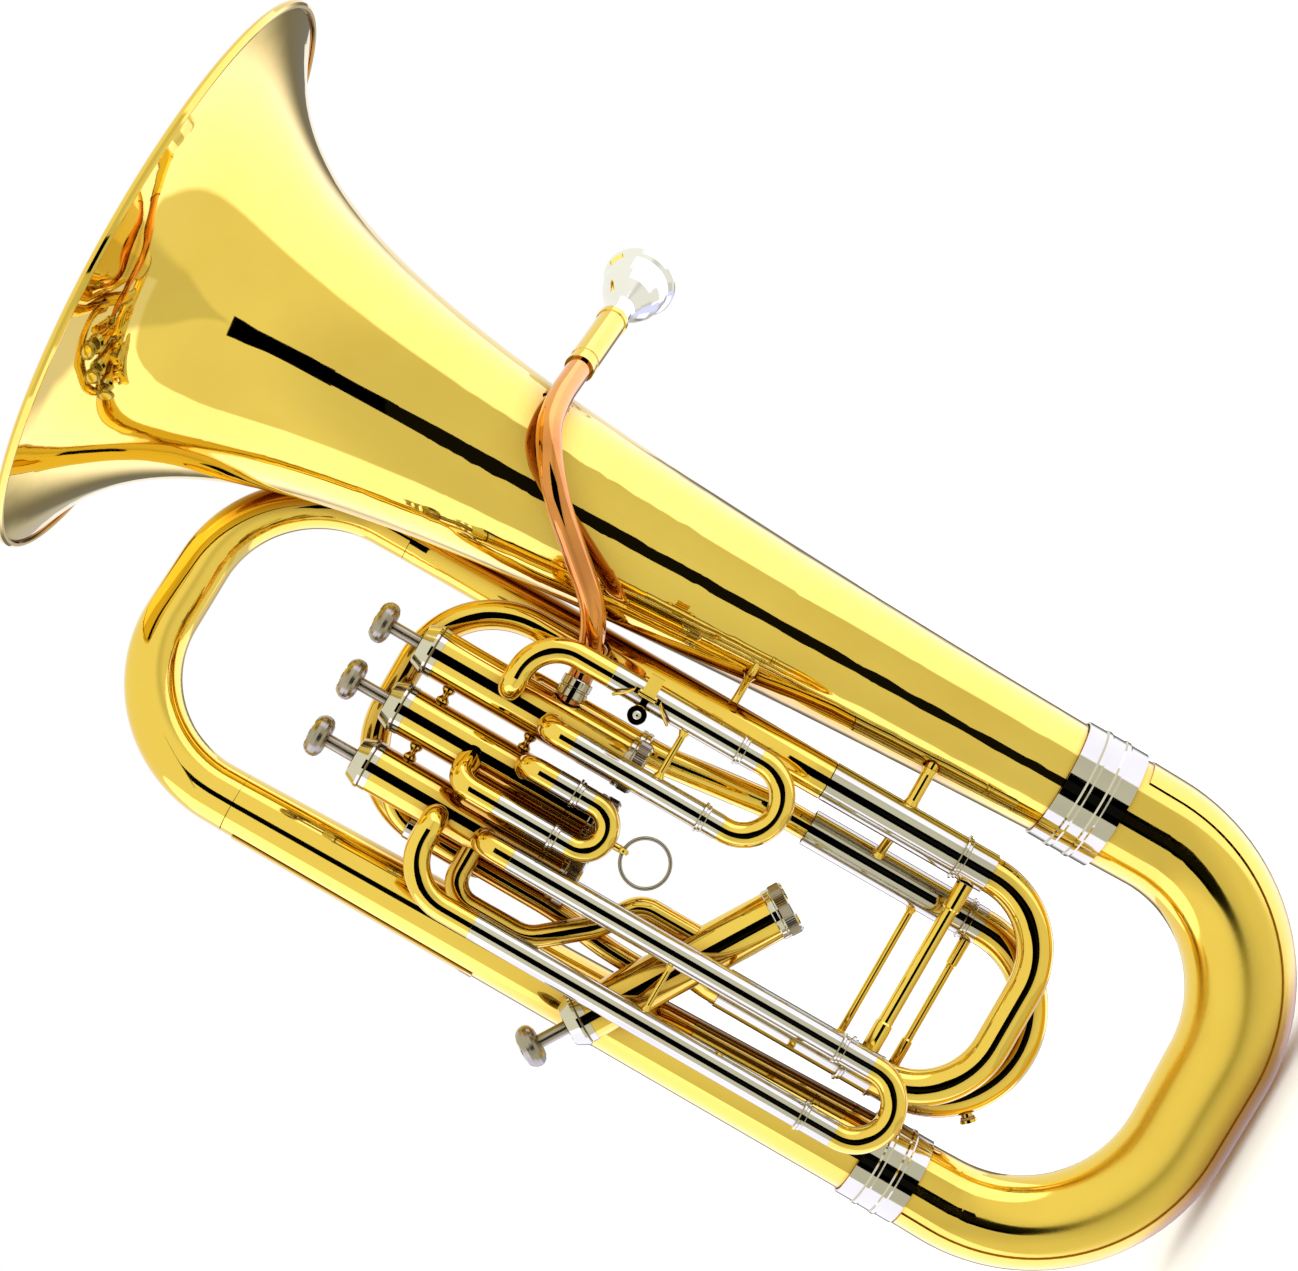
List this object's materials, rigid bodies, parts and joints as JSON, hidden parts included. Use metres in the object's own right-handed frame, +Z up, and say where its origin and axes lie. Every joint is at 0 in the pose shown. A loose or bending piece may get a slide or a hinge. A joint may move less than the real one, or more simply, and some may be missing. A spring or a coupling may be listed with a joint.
{
  "type": "euphonium",
  "caption": "Upright piston-valve euphonium in lacquered brass with an inline valve block, a slanted side valve, nickel tuning slides, a wide flared bell and a side mouthpiece.",
  "frame": {"origin": "on the bell's axis at the foot of the bottom bow, where the horn rests in the player's lap", "axes": "+Z up towards the bell's mouth, +X from the small branch towards the bell, -Y towards the side with the valves"},
  "size_m": [0.3983, 0.3088, 0.6872],
  "materials": {
    "bell_brass": "polished and lacquered",
    "lacquered_brass": "polished and lacquered",
    "nickel_silver": "polished",
    "valve_nickel": "polished",
    "piston_plate": "honed",
    "spring_steel": "bright",
    "felt": "pressed",
    "cork": "natural",
    "rose_brass": "polished and lacquered",
    "silver_plate": "polished"
  },
  "bodies": {
    "horn": {"arch_tube": "lacquered_brass", "bell": "bell_brass", "bell_rim_wire": "lacquered_brass", "bottom_bow": "lacquered_brass", "braces": "lacquered_brass", "cap_felts": "felt", "descending_branch": "lacquered_brass", "ferrules": "nickel_silver", "leadpipe": "rose_brass", "mouthpiece_receiver": "lacquered_brass", "outer_branch": "lacquered_brass", "slide_feed_tubes": "lacquered_brass", "slide_sleeves": "nickel_silver", "top_bow": "lacquered_brass", "valve_1_casing": "lacquered_brass", "valve_1_spring": "spring_steel", "valve_2_casing": "lacquered_brass", "valve_2_spring": "spring_steel", "valve_3_casing": "lacquered_brass", "valve_3_spring": "spring_steel", "valve_4_casing": "lacquered_brass", "valve_4_spring": "spring_steel", "valve_bottom_caps": "nickel_silver", "valve_crooks": "lacquered_brass", "valve_link_tubes": "lacquered_brass", "valve_top_caps": "nickel_silver", "wear_guards": "lacquered_brass"},
    "valve_1": {"valve_1_piston": "piston_plate", "valve_1_stem": "valve_nickel", "valve_1_button": "valve_nickel"},
    "valve_2": {"valve_2_piston": "piston_plate", "valve_2_stem": "valve_nickel", "valve_2_button": "valve_nickel"},
    "valve_3": {"valve_3_piston": "piston_plate", "valve_3_stem": "valve_nickel", "valve_3_button": "valve_nickel"},
    "valve_4": {"valve_4_piston": "piston_plate", "valve_4_stem": "valve_nickel", "valve_4_button": "valve_nickel"},
    "slide_1": {"slide_1_inner_legs": "nickel_silver", "slide_1_bow": "lacquered_brass"},
    "slide_2": {"slide_2_inner_legs": "nickel_silver", "slide_2_bow": "lacquered_brass", "pull_ring_eyelet": "lacquered_brass"},
    "slide_3": {"slide_3_inner_legs": "nickel_silver", "slide_3_bow": "lacquered_brass"},
    "main_slide": {"main_slide_inner_legs": "nickel_silver", "main_slide_bow": "lacquered_brass", "main_slide_brace": "lacquered_brass"},
    "fourth_slide": {"fourth_slide_inner_legs": "nickel_silver", "fourth_slide_bow": "lacquered_brass", "fourth_slide_brace": "lacquered_brass", "water_key_2_saddle": "lacquered_brass"},
    "ring": {"pull_ring": "valve_nickel"},
    "water_key_1": {"water_key_1_lever": "lacquered_brass", "water_key_1_cork": "cork"},
    "water_key_2": {"water_key_2_lever": "lacquered_brass", "water_key_2_cork": "cork"},
    "mouthpiece": {"mouthpiece": "silver_plate"}
  },
  "joints": [
    {"name": "valve_1_press", "type": "slide", "parent": "horn", "child": "valve_1", "axis": [0, 0, -1], "range_m": [0, 0.015], "stiffness_N_per_m": 150, "springref_m": -0.02, "deforming": ["valve_1_spring"]},
    {"name": "valve_2_press", "type": "slide", "parent": "horn", "child": "valve_2", "axis": [0, 0, -1], "range_m": [0, 0.015], "stiffness_N_per_m": 150, "springref_m": -0.02, "deforming": ["valve_2_spring"]},
    {"name": "valve_3_press", "type": "slide", "parent": "horn", "child": "valve_3", "axis": [0, 0, -1], "range_m": [0, 0.015], "stiffness_N_per_m": 150, "springref_m": -0.02, "deforming": ["valve_3_spring"]},
    {"name": "valve_4_press", "type": "slide", "parent": "horn", "child": "valve_4", "axis": [0.8508, 0, -0.5255], "range_m": [0, 0.015], "stiffness_N_per_m": 150, "springref_m": -0.02, "deforming": ["valve_4_spring"]},
    {"name": "slide_1_pull", "type": "slide", "parent": "horn", "child": "slide_1", "axis": [0, 0, -1], "range_m": [0, 0.06]},
    {"name": "slide_2_pull", "type": "slide", "parent": "horn", "child": "slide_2", "axis": [0, 0, -1], "range_m": [0, 0.01]},
    {"name": "slide_3_pull", "type": "slide", "parent": "horn", "child": "slide_3", "axis": [0, 0, -1], "range_m": [0, 0.15]},
    {"name": "main_slide_pull", "type": "slide", "parent": "horn", "child": "main_slide", "axis": [0, 0, -1], "range_m": [0, 0.05]},
    {"name": "fourth_slide_pull", "type": "slide", "parent": "horn", "child": "fourth_slide", "axis": [0, 0, -1], "range_m": [0, 0.035]},
    {"name": "ring_swing", "type": "hinge", "parent": "slide_2", "child": "ring", "pos_m": [-0.1371, -0.056, 0.33885], "axis": [1, 0, 0], "range_deg": [-70, 70]},
    {"name": "water_key_1_open", "type": "hinge", "parent": "horn", "child": "water_key_1", "pos_m": [-0.0665, -0.0661, 0.366], "axis": [0, 0, 1], "range_deg": [0, 18], "stiffness_Nm_per_rad": 0.02, "springref_deg": -28.65},
    {"name": "water_key_2_open", "type": "hinge", "parent": "fourth_slide", "child": "water_key_2", "pos_m": [-0.16246, 0.0181, 0.12884], "axis": [0.7071, 0, -0.7071], "range_deg": [0, 18], "stiffness_Nm_per_rad": 0.02, "springref_deg": -28.65},
    {"name": "mouthpiece_pull", "type": "slide", "parent": "horn", "child": "mouthpiece", "axis": [0.6157, 0.788, 0], "range_m": [0, 0.035]}
  ]
}
